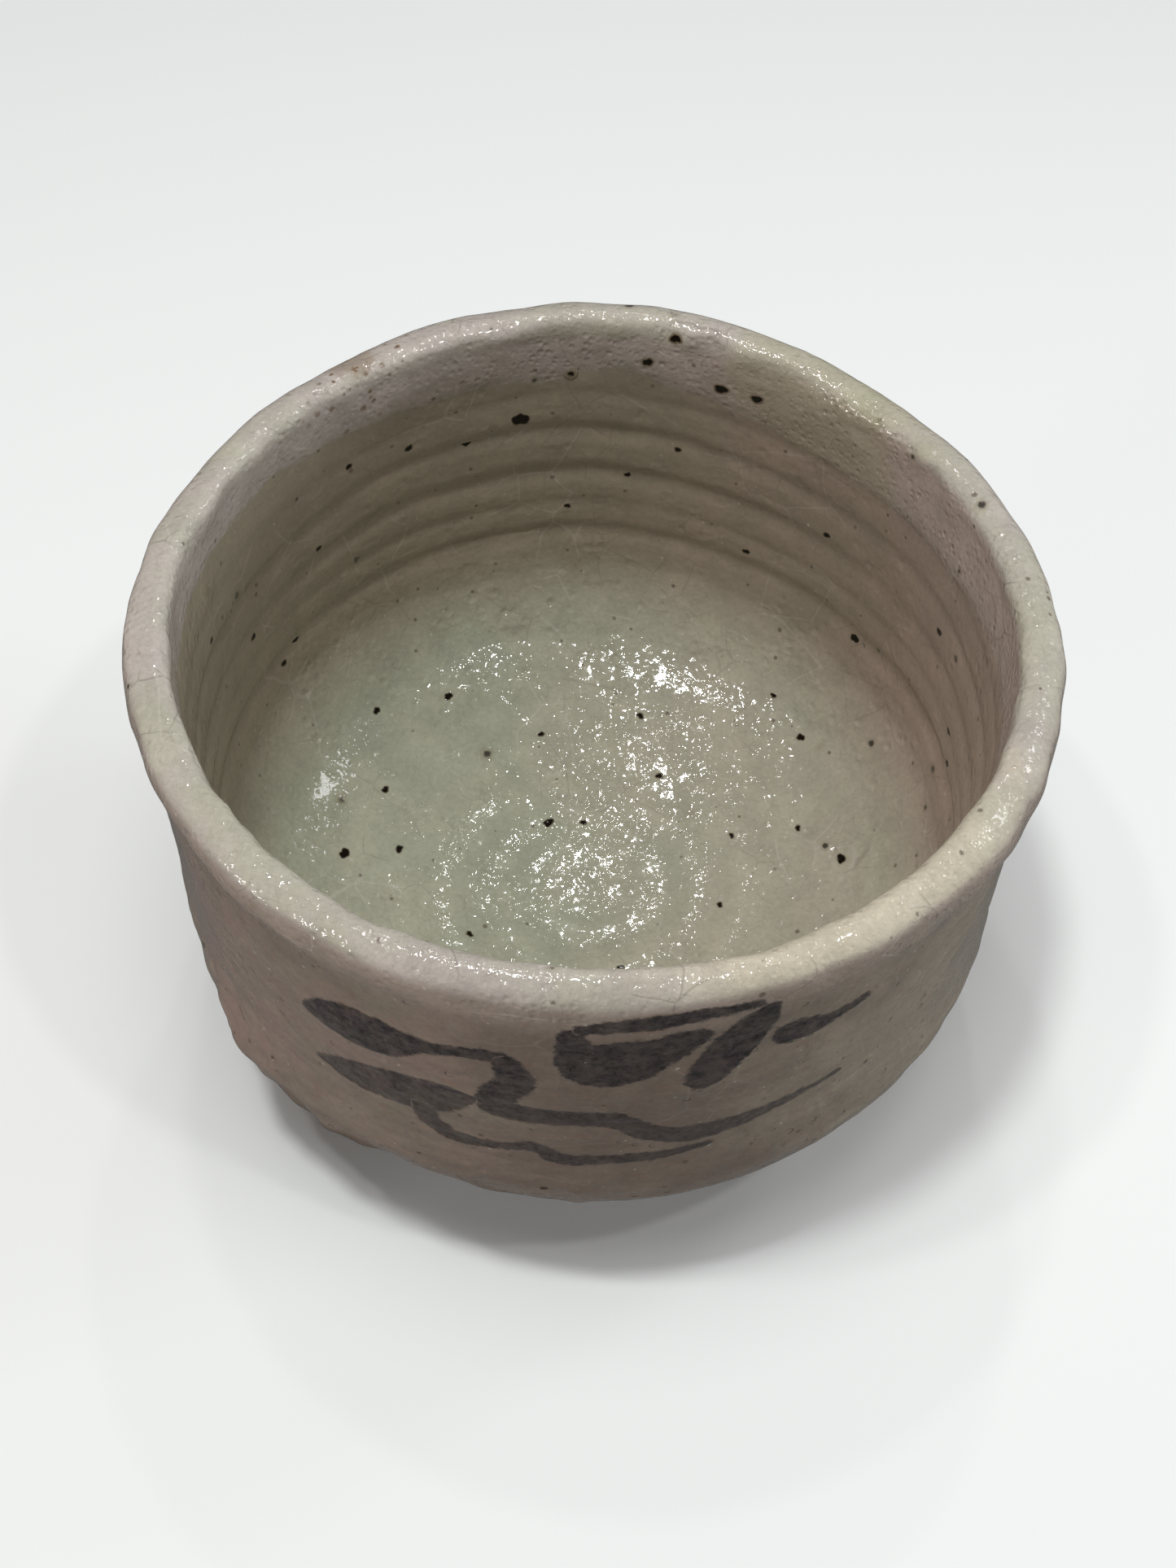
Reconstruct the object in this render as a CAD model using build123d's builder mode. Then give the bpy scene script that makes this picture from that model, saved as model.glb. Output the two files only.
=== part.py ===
"""Hand-thrown stoneware tea bowl, built up in the layers that the potter lays down.

Millimetres, +Z up. The origin is the centre of the face that the foot ring stands on, and
the brushwork is on the front, towards -Y. Every section is drawn in the XZ plane, with X as
the radius, and turned about Z.
"""

from build123d import *
from math import cos, hypot, radians, sin
import os

# Driving dimensions
HEIGHT = 80.0  # standing face to the top of the lip
LIP_RADIUS = 62.0  # outermost line of the lip
WALL_RADIUS = 60.4  # outside of the glazed wall
GLAZE = 0.8  # thickness of every glaze coat
PIGMENT = 0.3  # depth to which the iron brushwork has melted into the outside glaze

# Inside, at the glaze surface
FLOOR_HEIGHT = 11.3  # at the centre of the floor
FLOOR_RADIUS = 40.0  # where the dished floor turns into the corner
FLOOR_RISE = 5.7  # height gained from the centre to FLOOR_RADIUS
CORNER_TOP = 32.0  # height at which the corner has become the wall
CORNER_WALL_RADIUS = 54.2
INNER_LIP_RADIUS = 55.4
RING_COUNT = 5  # throwing rings on the inside wall
RING_DEPTH = 0.3
RINGS_TOP = 70.0

# Lip and outside, at the glaze surface
LIP_TOP_RADIUS = 58.8  # radius of the highest line of the lip
LIP_CREST_HEIGHT = HEIGHT - 3.2
NECK_HEIGHT = 71.5  # shallow groove under the lip
NECK_DEPTH = 0.4
WALL_TOP = 68.0
WAIST_HEIGHT = 31.0  # height at which the wall starts to turn under
WAIST_RADIUS = 14.0  # radius of that turn
WAIST_TURN = 65.0  # degrees

# Foot, thrown separately and joined with slip
FOOT_HEIGHT = 6.0
FOOT_TOP_RADIUS = 31.0
FOOT_BASE_RADIUS = 30.0
FOOT_WIDTH = 7.0
FOOT_EDGE = 0.8  # rounding of the standing edges

# Where one glaze coat stops and the next begins
OVERLAP_HEIGHT = 68.0  # inside, lower edge of the coat on the lip
COLLAR_HEIGHT = 75.6  # outside, lower edge of the coat on the lip
BARE_RADIUS = 38.0  # underside, inside this radius the clay is bare

# Middle of the clay wall, from the axis to the lip, which parts inside from outside
MID_RADIUS = 57.8
MID_WALL = [(0, 8.5), (40, 13.5), (50, 20), (57.4, 31), (MID_RADIUS, OVERLAP_HEIGHT)]
FAR = 90.0  # beyond the bowl in every direction

# Iron brushwork: (distance round the wall from the front, height, half the width)
BRUSHWORK = {
    "brush_upper_leaf": [
        (-36, 58.8, 1.0), (-33, 59.8, 3.0), (-29, 60.4, 4.3), (-25, 60.7, 4.3),
        (-21, 61.8, 2.7), (-17, 63.4, 1.4), (-12, 65.0, 1.0), (-9, 65.2, 1.0),
    ],
    "brush_middle_line": [
        (-7, 63.8, 1.9), (-6, 60.5, 2.4), (-8.5, 56.5, 2.4), (-9.5, 53.5, 2.2),
        (-6, 52.2, 1.9), (0, 52.4, 1.8), (6, 51.6, 1.7), (10, 47.9, 1.8),
        (15, 46.3, 2.0), (21, 46.8, 1.6), (27, 47.9, 1.1), (36, 49.2, 0.5),
    ],
    "brush_lower_leaf": [
        (-35, 46.6, 0.7), (-31, 47.7, 2.2), (-26, 48.9, 3.4), (-21, 50.4, 3.5),
        (-17, 51.8, 2.9), (-13, 53.6, 0.8),
    ],
    "brush_lower_line": [
        (-19.6, 47.5, 1.5), (-19, 44.6, 1.6), (-16, 42.4, 1.4), (-9, 42.7, 1.1),
        (-4, 43.1, 1.2), (-1.5, 40.6, 1.3), (4, 40.3, 1.1), (11, 40.9, 1.0),
        (18, 42.2, 0.7),
    ],
    "brush_centre_dab": [
        (-0.8, 71.2, 1.2), (-0.3, 68.8, 2.2), (1.9, 65.2, 4.2), (5.4, 65.4, 4.1),
        (9.4, 67.2, 3.0), (13, 69.2, 2.3), (15.2, 70.4, 1.4),
    ],
    "brush_top_line": [
        (1.6, 73.4, 0.7), (5.2, 73.6, 0.9), (9.6, 74.0, 0.9), (14.5, 74.2, 0.8),
        (19.3, 74.3, 0.6),
    ],
    "brush_right_dab": [
        (15.4, 61.0, 2.6), (18, 64.6, 3.0), (21, 68.2, 2.6), (23.4, 71.2, 1.7),
        (24.4, 72.6, 0.8),
    ],
    "brush_right_flick": [
        (26.6, 66.9, 1.9), (29, 66.5, 1.7), (32.4, 66.5, 1.1), (37.6, 66.6, 0.6),
    ],
}

# Iron specks melted through the inside glaze: (degrees round from the front, radius, width)
FLOOR_SPECKS = [
    (206, 14, 1.5), (268, 38, 1.6), (262, 30, 1.2), (300, 20, 1.0), (318, 24, 1.5),
    (96, 41, 1.5), (152, 25, 1.0), (62, 40, 0.9), (108, 36, 0.9), (216, 41, 1.2),
    (232, 45, 1.1), (246, 36, 1.1), (24, 16, 0.9), (182, 13, 0.9), (128, 44, 1.2),
    (139, 46, 0.9), (196, 30, 0.9), (84, 22, 0.9), (42, 28, 0.8), (166, 34, 1.0),
    (176, 47, 1.0), (181, 48, 0.9), (158, 48, 0.9), (114, 26, 0.8),
]
# and on the inside wall: (degrees round from the front, height, width)
WALL_SPECKS = [
    (194, 62, 2.3), (203, 59, 1.3), (213, 62, 1.1), (224, 64, 0.9), (162, 66, 1.7),
    (156, 66, 1.5), (140, 52, 1.0), (112, 55, 1.1), (250, 48, 1.0), (176, 50, 0.9),
    (154, 40, 1.0), (186, 43, 0.8), (232, 52, 0.9), (101, 44, 1.2), (98, 40, 1.0),
    (262, 60, 0.9), (240, 38, 1.3), (244, 36, 1.0), (130, 36, 1.5), (168, 57, 0.8),
]
SPECK_START_RADIUS = 50.0  # a wall speck's plug is cut from here outwards


def save(piece, name):
    """Labels a finished piece and writes it as a STEP file of that name."""
    piece.part.label = name
    export_step(piece.part, f"parts/{name}.step")


def inside_profile():
    """Lines from the centre of the floor up the inside wall to the foot of the lip."""
    floor_end = (FLOOR_RADIUS, FLOOR_HEIGHT + FLOOR_RISE)
    floor = TangentArc((0, FLOOR_HEIGHT), floor_end, tangent=(1, 0))
    TangentArc(floor_end, (CORNER_WALL_RADIUS, CORNER_TOP), tangent=floor % 1)
    pitch = (RINGS_TOP - CORNER_TOP) / RING_COUNT
    lean = (INNER_LIP_RADIUS - CORNER_WALL_RADIUS) / RING_COUNT
    for ring in range(RING_COUNT):
        low = (CORNER_WALL_RADIUS + ring * lean, CORNER_TOP + ring * pitch)
        high = (low[0] + lean, low[1] + pitch)
        hollow = ((low[0] + high[0]) / 2 + RING_DEPTH, (low[1] + high[1]) / 2)
        ThreePointArc(low, hollow, high)


def outside_profile():
    """Lines over the lip, down the outside wall, round the waist and in to the axis."""
    base_height = FOOT_HEIGHT - GLAZE
    lip_start = HEIGHT - (LIP_TOP_RADIUS - INNER_LIP_RADIUS)
    Line((INNER_LIP_RADIUS, RINGS_TOP), (INNER_LIP_RADIUS, lip_start))
    TangentArc((INNER_LIP_RADIUS, lip_start), (LIP_TOP_RADIUS, HEIGHT), tangent=(0, 1))
    TangentArc((LIP_TOP_RADIUS, HEIGHT), (LIP_RADIUS, LIP_CREST_HEIGHT), tangent=(1, 0))
    under_lip = (WALL_RADIUS + NECK_DEPTH, (LIP_CREST_HEIGHT + NECK_HEIGHT) / 2)
    TangentArc((LIP_RADIUS, LIP_CREST_HEIGHT), under_lip, tangent=(0, -1))
    ThreePointArc(under_lip, (WALL_RADIUS - NECK_DEPTH, NECK_HEIGHT), (WALL_RADIUS, WALL_TOP))
    Line((WALL_RADIUS, WALL_TOP), (WALL_RADIUS, WAIST_HEIGHT))
    turn = radians(WAIST_TURN)
    waist_end_radius = WALL_RADIUS - WAIST_RADIUS * (1 - cos(turn))
    waist_end = (waist_end_radius, WAIST_HEIGHT - WAIST_RADIUS * sin(turn))
    TangentArc((WALL_RADIUS, WAIST_HEIGHT), waist_end, tangent=(0, -1))
    Line(waist_end, (FOOT_TOP_RADIUS, base_height))
    Line((FOOT_TOP_RADIUS, base_height), (0, base_height))


def half_section(inset):
    """Half section of the bowl without its foot, that far under the glaze surface."""
    with BuildSketch(Plane.XZ) as section:
        with BuildLine():
            inside_profile()
            outside_profile()
            mirror(about=Plane.YZ)
        make_face()
        if inset > 0:
            offset(amount=-inset, mode=Mode.REPLACE)
        with Locations((FAR / 2, FAR / 2)):
            Rectangle(FAR, 2 * FAR, mode=Mode.INTERSECT)
    return section.sketch


def layer_section(outer_inset, inner_inset, region):
    """Half section of the layer between two depths, where it lies inside a polygon."""
    with BuildSketch(Plane.XZ) as section:
        add(half_section(outer_inset))
        add(half_section(inner_inset), mode=Mode.SUBTRACT)
        Polygon(*region, align=None, mode=Mode.INTERSECT)
    return section.sketch


def brush_outline(points):
    """Outline of a brush stroke as seen from the front: round dabs joined by tapers."""
    spots = [(WALL_RADIUS * sin(along / WALL_RADIUS), z, w) for along, z, w in points]
    with BuildSketch(Plane.XZ) as outline:
        for x, z, half_width in spots:
            with Locations((x, z)):
                Circle(half_width)
        for (x0, z0, w0), (x1, z1, w1) in zip(spots, spots[1:]):
            run = hypot(x1 - x0, z1 - z0)
            across = (-(z1 - z0) / run, (x1 - x0) / run)
            Polygon(
                (x0 + across[0] * w0, z0 + across[1] * w0),
                (x0 - across[0] * w0, z0 - across[1] * w0),
                (x1 - across[0] * w1, z1 - across[1] * w1),
                (x1 + across[0] * w1, z1 + across[1] * w1),
                align=None,
            )
    return outline.sketch


os.makedirs("parts", exist_ok=True)

inside_region = [*MID_WALL, (0, OVERLAP_HEIGHT)]
lip_region = [
    (0, OVERLAP_HEIGHT), (MID_RADIUS, OVERLAP_HEIGHT), (MID_RADIUS, COLLAR_HEIGHT),
    (FAR, COLLAR_HEIGHT), (FAR, FAR), (0, FAR),
]
outside_region = [
    (BARE_RADIUS, 0), (FAR, 0), (FAR, COLLAR_HEIGHT), (MID_RADIUS, COLLAR_HEIGHT),
    *MID_WALL[:0:-1], (BARE_RADIUS, MID_WALL[1][1]),
]

# The clay: wall and floor thrown from one lump, and the foot ring under it
with BuildPart() as thrown_body:
    add(half_section(GLAZE))
    revolve(axis=Axis.Z)
save(thrown_body, "thrown_body")

with BuildPart() as foot_ring:
    with BuildSketch(Plane.XZ):
        Polygon(
            (FOOT_TOP_RADIUS, FOOT_HEIGHT),
            (FOOT_BASE_RADIUS, 0),
            (FOOT_BASE_RADIUS - FOOT_WIDTH, 0),
            (FOOT_TOP_RADIUS - FOOT_WIDTH, FOOT_HEIGHT),
            align=None,
        )
    revolve(axis=Axis.Z)
    fillet(foot_ring.edges().group_by(Axis.Z)[0], FOOT_EDGE)
save(foot_ring, "foot_ring")

# The brushwork, flush with the glaze; where strokes cross, the earlier one is kept whole
with BuildPart() as pigment_layer:
    add(layer_section(0, PIGMENT, outside_region))
    revolve(axis=Axis.Z)

strokes = []
for stroke_name, stroke_points in BRUSHWORK.items():
    with BuildPart() as stroke:
        add(brush_outline(stroke_points))
        extrude(amount=FAR, dir=(0, -1, 0))
        add(pigment_layer.part, mode=Mode.INTERSECT)
        for earlier in strokes:
            add(earlier, mode=Mode.SUBTRACT)
    save(stroke, stroke_name)
    strokes.append(stroke.part)

# The three glaze coats
with BuildPart() as outside_glaze:
    add(layer_section(0, GLAZE, outside_region))
    revolve(axis=Axis.Z)
    for painted in strokes:
        add(painted, mode=Mode.SUBTRACT)
save(outside_glaze, "outside_glaze")

with BuildPart() as lip_glaze:
    add(layer_section(0, GLAZE, lip_region))
    revolve(axis=Axis.Z)
save(lip_glaze, "lip_glaze")

with BuildPart() as plain_inside_glaze:
    add(layer_section(0, GLAZE, inside_region))
    revolve(axis=Axis.Z)

# Iron specks, each a plug right through the inside glaze
with BuildPart() as iron_specks:
    for degrees_round, radius, width in FLOOR_SPECKS:
        angle = radians(degrees_round)
        with BuildSketch():
            with Locations((radius * sin(angle), -radius * cos(angle))):
                Circle(width / 2)
        extrude(amount=CORNER_TOP)
    for degrees_round, height, width in WALL_SPECKS:
        angle = radians(degrees_round)
        outward = Vector(sin(angle), -cos(angle), 0)
        start = outward * SPECK_START_RADIUS + Vector(0, 0, height)
        with BuildSketch(Plane(start, x_dir=(0, 0, 1), z_dir=outward)):
            Circle(width / 2)
        extrude(amount=MID_RADIUS - SPECK_START_RADIUS)
    add(plain_inside_glaze.part, mode=Mode.INTERSECT)
save(iron_specks, "iron_specks")

with BuildPart() as inside_glaze:
    add(plain_inside_glaze.part)
    add(iron_specks.part, mode=Mode.SUBTRACT)
save(inside_glaze, "inside_glaze")
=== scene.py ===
"""Looks of a hand-thrown stoneware tea bowl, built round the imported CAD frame.

Lengths are millimetres in this script's own geometry and become metres when a mesh is
made. Angles go round the bowl from the front (-Y), positive towards +X. Every surface comes
from one section curve, which runs from the centre of the floor up the inside wall, over the
lip, down the outside and under to the foot. A piece is a band of that curve, turned round
the axis and made uneven as a thrown bowl is.
"""

import math
from itertools import product

import bpy
import numpy as np
from mathutils import Matrix, Vector


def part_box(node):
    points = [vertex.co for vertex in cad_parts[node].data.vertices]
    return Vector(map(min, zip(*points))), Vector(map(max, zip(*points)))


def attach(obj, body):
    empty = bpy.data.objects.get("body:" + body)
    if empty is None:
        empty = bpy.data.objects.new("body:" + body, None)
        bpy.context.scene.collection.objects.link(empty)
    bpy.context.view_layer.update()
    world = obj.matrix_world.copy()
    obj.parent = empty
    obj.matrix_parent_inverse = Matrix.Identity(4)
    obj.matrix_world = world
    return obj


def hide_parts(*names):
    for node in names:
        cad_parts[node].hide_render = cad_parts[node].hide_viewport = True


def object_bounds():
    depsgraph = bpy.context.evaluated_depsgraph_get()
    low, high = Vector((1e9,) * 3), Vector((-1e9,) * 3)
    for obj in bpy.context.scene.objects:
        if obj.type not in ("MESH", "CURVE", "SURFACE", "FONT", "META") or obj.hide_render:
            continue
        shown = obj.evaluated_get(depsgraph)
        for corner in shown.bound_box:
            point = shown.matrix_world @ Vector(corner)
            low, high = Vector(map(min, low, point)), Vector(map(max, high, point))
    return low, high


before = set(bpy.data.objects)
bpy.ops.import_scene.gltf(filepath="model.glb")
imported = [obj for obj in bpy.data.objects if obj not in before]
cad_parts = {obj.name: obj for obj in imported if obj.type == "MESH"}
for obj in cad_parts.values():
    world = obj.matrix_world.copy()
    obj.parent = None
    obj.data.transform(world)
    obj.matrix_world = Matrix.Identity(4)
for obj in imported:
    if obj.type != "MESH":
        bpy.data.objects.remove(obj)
cad_low, cad_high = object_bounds()

MM = 0.001
TAU = 2 * math.pi


# ---------------------------------------------------------------- sizes from the frame


def measure(node):
    """Outer radius, lowest and highest point of a CAD node, in millimetres."""
    low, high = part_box(node)
    return high.x / MM, low.z / MM, high.z / MM


HEIGHT = cad_high.z / MM
COAT = 0.8  # thickness of a glaze coat
SECOND_COAT = 0.14  # how far the coat on the lip stands over the others
LIP_RADIUS = measure("lip_glaze")[0]
WALL_RADIUS = LIP_RADIUS - 1.45  # the lip stands out over the wall by this much
GLAZE_LINE_Z = measure("outside_glaze")[1]
INNER_RADIUS = measure("inside_glaze")[0] - COAT
FLOOR_Z = measure("inside_glaze")[1] + COAT
FOOT_RADIUS, _, FOOT_TOP_Z = measure("foot_ring")
BARE_RADIUS = 38.0  # the underside is bare clay inside this radius
WAIST_Z = 31.0
SEAM_Z = HEIGHT - 4.5  # the other two coats end here, under the lip's

# Glazed surface from the centre of the floor to the glaze line: (radius, height)
INSIDE_POINTS = [
    (0, FLOOR_Z), (10, FLOOR_Z + 0.35), (22, FLOOR_Z + 1.7), (33, FLOOR_Z + 3.9),
    (41, FLOOR_Z + 6.6), (47, FLOOR_Z + 10.2), (51, FLOOR_Z + 14.6),
    (53.2, FLOOR_Z + 19.5), (54.1, FLOOR_Z + 25), (54.6, 45), (55.0, 57),
    (INNER_RADIUS - 0.2, 68), (INNER_RADIUS, HEIGHT - 4), (INNER_RADIUS + 0.1, HEIGHT - 1.9),
    (INNER_RADIUS + 0.35, HEIGHT - 1.0), (INNER_RADIUS + 0.95, HEIGHT - 0.35),
]
OUTSIDE_POINTS = [
    (INNER_RADIUS + 1.7, HEIGHT), (WALL_RADIUS - 2.2, HEIGHT - 0.35),
    (WALL_RADIUS - 1.25, HEIGHT - 1.3), (WALL_RADIUS - 0.65, HEIGHT - 2.8),
    (WALL_RADIUS - 0.35, HEIGHT - 5.2), (WALL_RADIUS - 0.3, HEIGHT - 12),
    (WALL_RADIUS, HEIGHT - 18), (WALL_RADIUS, 50), (WALL_RADIUS, 40),
    (WALL_RADIUS + 0.4, WAIST_Z), (WALL_RADIUS - 0.7, 26.2), (WALL_RADIUS - 3.4, 21.8),
    (WALL_RADIUS - 7.4, 18.4), (48.0, 15.6), (43.0, 12.6), (BARE_RADIUS, GLAZE_LINE_Z),
]

# The foot ring from its outside, under its standing face, to its inside
FOOT_POINTS = [
    (31.6, 6.2), (30.8, 4.6), (30.2, 2.6), (30.0, 0.9), (28.9, 0.1), (26.6, 0.0),
    (24.2, 0.1), (23.2, 0.9), (23.3, 2.2), (23.9, 4.6), (24.4, 6.2),
]
FOOT_MIDDLE = 26.5  # radius of the middle of its standing face


# ---------------------------------------------------------------- curves and noise


def smoothstep(low, high, value):
    """0 below low, 1 above high, and a smooth step between."""
    t = np.clip((value - low) / (high - low), 0, 1)
    return t * t * (3 - 2 * t)


def bump(centre, width, value):
    """A bell of height 1 at centre, about that wide to each side."""
    return np.exp(-(((value - centre) / width) ** 2))


def hermite(points, spacing):
    """A smooth curve through points, sampled about that far apart."""
    points = np.array(points, float)
    chord = np.append(0, np.cumsum(np.hypot(*np.diff(points[:, :2], axis=0).T)))
    slope = np.gradient(points, chord, axis=0)
    at = np.linspace(0, chord[-1], int(chord[-1] / spacing) + 1)
    i = np.clip(np.searchsorted(chord, at, side="right") - 1, 0, len(points) - 2)
    run = (chord[i + 1] - chord[i])[:, None]
    t = (at - chord[i])[:, None] / run
    start = (1 + 2 * t) * (1 - t) ** 2 * points[i] + t * (1 - t) ** 2 * run * slope[i]
    end = t * t * (3 - 2 * t) * points[i + 1] + t * t * (t - 1) * run * slope[i + 1]
    return start + end


def around(theta, pairs):
    """Smooth value at angles theta from (degrees, value) pairs that go once round."""
    degrees = np.degrees(theta) % 360
    knots = np.array(pairs + [(pairs[0][0] + 360, pairs[0][1])], float)
    i = np.clip(np.searchsorted(knots[:, 0], degrees, side="right") - 1, 0, len(pairs) - 1)
    t = smoothstep(knots[i, 0], knots[i + 1, 0], degrees)
    return knots[i, 1] * (1 - t) + knots[i + 1, 1] * t


def gradient_noise(points, size, seed):
    """Smooth noise of about -1 to 1 at points (..., 3), with features about that size."""
    random = np.random.default_rng(seed)
    table = random.permutation(256)
    directions = random.normal(size=(256, 3))
    directions /= np.linalg.norm(directions, axis=1)[:, None]
    scaled = np.asarray(points, float) / size + random.uniform(50, 90, 3)
    cell = np.floor(scaled).astype(int)
    inside = scaled - cell
    fade = inside**3 * (inside * (inside * 6 - 15) + 10)
    total = np.zeros(scaled.shape[:-1])
    for corner in product((0, 1), repeat=3):
        hashed = table[(cell[..., 0] + corner[0]) & 255]
        hashed = table[(hashed + cell[..., 1] + corner[1]) & 255]
        hashed = table[(hashed + cell[..., 2] + corner[2]) & 255]
        weight = np.prod(np.where(corner, fade, 1 - fade), axis=-1)
        total += weight * np.sum(directions[hashed] * (inside - corner), axis=-1)
    return total * 1.7


class Section:
    """The section curve by its length s from the centre of the floor."""

    def __init__(self):
        curve = hermite(INSIDE_POINTS + OUTSIDE_POINTS, 0.1)
        step = np.hypot(*np.diff(curve, axis=0).T)
        self.s = np.append(0, np.cumsum(step))
        self.r, self.z = curve.T
        tangent = np.gradient(curve, self.s, axis=0)
        tangent[0] = (1, 0)
        tangent /= np.linalg.norm(tangent, axis=1)[:, None]
        self.normal_r, self.normal_z = -tangent[:, 1], tangent[:, 0]
        self.top = int(np.argmax(self.z))
        self.lip_top = self.s[self.top]
        self.end = self.s[-1]

    def at(self, s):
        """Radius, height and the normal's two components at lengths s."""
        return [np.interp(s, self.s, v) for v in (self.r, self.z, self.normal_r, self.normal_z)]

    def inside_at(self, z):
        """Length s at which the inside wall has height z."""
        return np.interp(z, self.z[: self.top], self.s[: self.top])

    def outside_at(self, z):
        """Length s at which the outside has height z."""
        return np.interp(-z, -self.z[self.top :], self.s[self.top :])


SECTION = Section()


# ---------------------------------------------------------------- the uneven surface

# How far the thrown bowl wanders, as (degrees from the front, millimetres) pairs: the lip's
# height, its outer and inner edge outwards, and the outside wall outwards
LIP_LIFT = [
    (0, 1.0), (30, 0.4), (60, -0.2), (90, 0.0), (120, -0.3), (140, -0.7), (162, 0.5),
    (180, 1.0), (200, 0.5), (220, -0.4), (240, -0.4), (270, 0.1), (300, 0.0), (330, 0.4),
]
LIP_OUTWARD = [
    (0, 0.0), (20, 0.2), (40, 0.9), (60, 1.9), (90, 2.0), (120, 1.9), (148, 1.5), (165, 1.7),
    (180, 1.5), (200, 1.8), (235, 1.5), (270, 2.1), (281, 2.3), (292, 1.6), (315, 1.2),
    (338, 0.3),
]
LIP_INNER = [
    (0, -0.4), (45, -0.1), (90, 0.6), (120, 0.4), (145, -0.4), (180, 0.2), (215, -0.4),
    (240, 0.1), (270, 0.6), (315, 0.0),
]
WALL_SWAY = [
    (0, 0.2), (30, 0.3), (62, 0.4), (95, 0), (200, 0), (270, -0.2), (295, -0.6), (325, 0),
]
# Height of the small knobs at the outside of the lip and at the waist, at angles round
KNOBS = [
    (0, 0.12), (30, 0.2), (55, 0.35), (110, 0.3), (150, 0.12), (220, 0.12), (285, 0.3),
    (335, 0.3),
]
# Depth below the lip of the second coat's lower edge inside, at angles round
OVERLAP_DEPTH = [
    (0, 10), (30, 10), (60, 11), (90, 12), (115, 15), (140, 15), (155, 14), (166, 12.5),
    (178, 9.5), (190, 11.5), (207, 11.5), (240, 8.5), (270, 9), (300, 9), (330, 10),
]
OUTSIDE_OVERLAP = 7.0  # its depth below the lip outside
# Hollows that the fingers left round the inside wall: height, depth, width
FINGER_RINGS = [
    (65.5, 0.16, 2.4), (58.5, 0.48, 3.2), (50, 0.54, 3.4), (43.5, 0.22, 2.2),
    (37.5, 0.56, 3.4), (30.5, 0.14, 2.6),
]
SPIRAL_PITCH = 7.6  # from one turn of the finger's spiral on the floor to the next
SPIRAL_HEIGHT = 0.17
TURNING_PITCH = 2.9  # from one turning line outside to the next
# Lumps and dents outside: degrees, height, amount, half angle in radians, half height
LUMPS = [
    (-49, 29, 0.9, 0.07, 4), (-34.5, 25, 0.7, 0.07, 4), (-18.5, 26, -0.55, 0.15, 5),
    (-68, 33, -0.5, 0.12, 7), (67, 59, -0.45, 0.12, 9),
]
FINGER_MARK = (-5.5, 29.0, 7.6, 5.4)  # along the wall, height, half width, half height
FINGER_MARK_DEPTH = 0.30


def turned(r, theta, z):
    """Points (..., 3) at that distance from the axis, angle and height."""
    return np.stack([r * np.sin(theta), -r * np.cos(theta), z], -1)


def finger_mark(theta, z):
    """How far outside the finger mark's edge a point is, as a share of the mark's size."""
    along, height, half_width, half_height = FINGER_MARK
    tilt = 0.16 * (theta * WALL_RADIUS - along)
    across = (theta * WALL_RADIUS - along) / half_width
    return np.hypot(across, (z - height + tilt) / half_height) - 1


def inside_relief(flat, theta, r, z, wide, middle):
    """Throwing marks inside: hollows round the wall, and the finger's spiral on the floor."""
    relief = 0
    held = smoothstep(22, 30, z) * (1 - smoothstep(66, 72, z))
    for number, (height, depth, width) in enumerate(FINGER_RINGS):
        fade = 0.75 + 0.55 * gradient_noise(flat, 34, 30 + number)
        offset = z - height - 1.3 * wide - 0.5 * middle
        shape = smoothstep(-width, 0, offset) * (1 - smoothstep(0, 0.6 * width, offset))
        relief -= held * depth * np.clip(fade, 0.1, 1.3) * shape
    spiral = np.cos(TAU * (r / SPIRAL_PITCH - theta / TAU + 0.10 * wide))
    strength = smoothstep(1, 5, r) * (1 - smoothstep(20, 40, r)) * (z < WAIST_Z)
    fade = np.clip(0.6 + 0.8 * gradient_noise(flat, 20, 8), 0.1, 1.2)
    return relief + strength * fade * SPIRAL_HEIGHT * (spiral + 0.4 * spiral**2)


def throwing_marks(s, theta):
    """Height of the throwing marks inside, by which the inside coat's colour gets painted shade
    in the hollows and painted light on the ridges.
    """
    s, theta = np.broadcast_arrays(s, theta)
    r, z = SECTION.at(s)[:2]
    flat = turned(r, theta, z)
    wide, middle = gradient_noise(flat, 30, 1), gradient_noise(flat, 11, 2)
    return inside_relief(flat, theta, r, z, wide, middle)


def outside_relief(flat, theta, z, middle, small):
    """Turning lines, the bulge at the waist towards the left, lumps and the finger mark."""
    lines = np.cos(TAU * ((z + 0.9 * middle) / TURNING_PITCH + theta / TAU))
    strength = 0.015 + 0.05 * gradient_noise(flat, 16, 6) + 0.02 * (1 - smoothstep(30, 52, z))
    on_wall = (1 - smoothstep(66, 72, z)) * smoothstep(12, 20, z)
    relief = on_wall * np.clip(strength, 0, 1) * lines
    bulge = bump(math.radians(-42), 0.24, theta) * bump(27.5, 6.5, z)
    relief += bulge * (1.1 + 0.7 * small + 0.45 * gradient_noise(flat, 3.4, 7))
    for degrees, height, amount, half_angle, half_height in LUMPS:
        near = bump(math.radians(degrees), half_angle, theta)
        relief += amount * near * bump(height, half_height, z)
    rough = bump(math.radians(-52), 0.5, theta) * bump(30, 9, z)
    relief += rough * (0.4 * small + 0.25 * gradient_noise(flat, 3.0, 17))
    mark = finger_mark(theta, z)
    relief = relief + 0.12 * bump(0.04, 0.09, mark)
    return relief - FINGER_MARK_DEPTH * (1 - smoothstep(-0.12, 0, mark))


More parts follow.
